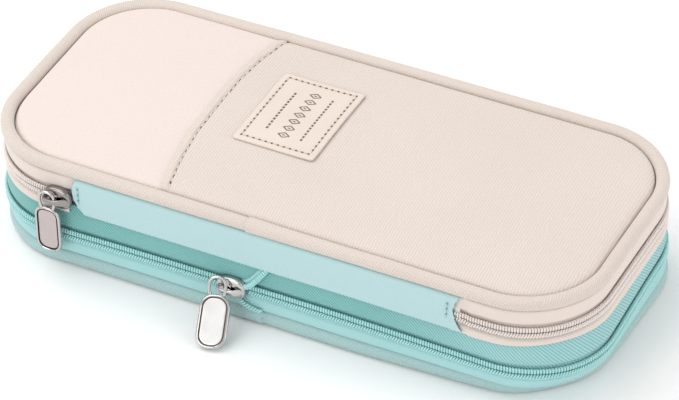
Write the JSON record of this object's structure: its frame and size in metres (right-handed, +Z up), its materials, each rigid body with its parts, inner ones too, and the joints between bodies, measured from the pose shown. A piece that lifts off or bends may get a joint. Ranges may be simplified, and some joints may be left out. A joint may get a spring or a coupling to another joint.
{
  "type": "pencil case",
  "caption": "Soft zip-up pencil case with rounded ends, a padded lid on a fabric spine, an expansion zipper round the base and metal pulls.",
  "frame": {"origin": "centre of the flat underside, on the surface the case stands on", "axes": "+X along the case towards the end where the lid zipper's stop is, -Y towards the spine band and the pulls, +Z up through the lid"},
  "size_m": [0.22, 0.1174, 0.0458],
  "materials": {
    "cream_canvas": "cream cotton canvas, fine twill",
    "beige_tape": "pinkish beige woven zipper tape",
    "mint_canvas": "blue-green cotton canvas, fine twill",
    "mint_tape": "mint herringbone zipper tape",
    "mint_coil": "dyed nylon coil, semi-gloss",
    "beige_coil": "dyed nylon coil, semi-gloss",
    "metal": "polished nickel plate",
    "label": "smooth beige imitation leather",
    "lining": "thin plain-weave polyester",
    "foam": "closed-cell foam stiffener",
    "board": "grey-brown stiffener board",
    "mesh": "open polyester net"
  },
  "bodies": {
    "base": {"base_panel": "mint_canvas", "base_board": "board", "base_lining": "lining", "base_piping": "mint_canvas", "base_zipper_tape": "mint_tape", "base_rim": "foam", "expansion_gusset": "lining", "expander_coil_lower": "mint_coil", "chain_end_lower": "mint_coil"},
    "case": {"case_zipper_tape": "mint_tape", "case_rim": "foam", "case_rim_top": "foam", "case_lining": "lining", "lid_tape_lower": "beige_tape", "lid_coil_lower": "beige_coil", "expander_coil_upper": "mint_coil", "chain_end_upper": "mint_coil"},
    "spine": {"spine_band": "mint_canvas", "spine_foam": "foam", "spine_lining": "lining"},
    "lid": {"lid_panel": "cream_canvas", "lid_foam": "foam", "lid_lining": "lining", "lid_piping": "cream_canvas", "lid_wall": "beige_tape", "lid_rim": "foam", "lid_coil_upper": "beige_coil", "pocket_panel": "cream_canvas", "label_patch": "label", "mesh_pocket": "mesh", "mesh_pocket_binding": "beige_tape"},
    "expander_slider": {"expander_slider_body": "metal", "expander_slider_bridge": "metal"},
    "expander_pull": {"expander_pull_loop": "metal", "expander_pull_plate": "metal"},
    "lid_slider": {"lid_slider_body": "metal", "lid_slider_bridge": "metal"},
    "lid_pull": {"lid_pull_loop": "metal", "lid_pull_plate": "metal"}
  },
  "joints": [
    {"name": "expander_lift", "type": "slide", "parent": "base", "child": "case", "axis": [0, 0, 1], "range_m": [0, 0.018], "deforming": ["expansion_gusset"]},
    {"name": "spine_fold", "type": "hinge", "parent": "case", "child": "spine", "pos_m": [0, -0.0485, 0.0252], "axis": [1, 0, 0], "range_deg": [0, 95]},
    {"name": "lid_fold", "type": "hinge", "parent": "spine", "child": "lid", "pos_m": [0, -0.0485, 0.0385], "axis": [1, 0, 0], "range_deg": [0, 95]},
    {"name": "expander_slider_travel", "type": "slide", "parent": "base", "child": "expander_slider", "axis": [-1, 0, 0], "range_m": [0, 0.05]},
    {"name": "expander_pull_lift", "type": "hinge", "parent": "expander_slider", "child": "expander_pull", "pos_m": [-0.0163, -0.0516, 0.0188], "axis": [-0.9703, -0.2419, 0], "range_deg": [0, 70]},
    {"name": "lid_slider_travel", "type": "hinge", "parent": "case", "child": "lid_slider", "pos_m": [-0.0804, -0.0189, 0.02965], "axis": [0, 0, -1], "range_deg": [0, 90]},
    {"name": "lid_pull_lift", "type": "hinge", "parent": "lid_slider", "child": "lid_pull", "pos_m": [-0.0789, -0.0514, 0.0326], "axis": [-1, 0, 0], "range_deg": [0, 120]}
  ],
  "couplings": [
    {"joint": "spine_fold", "follows": "lid_fold", "ratio": 1}
  ]
}
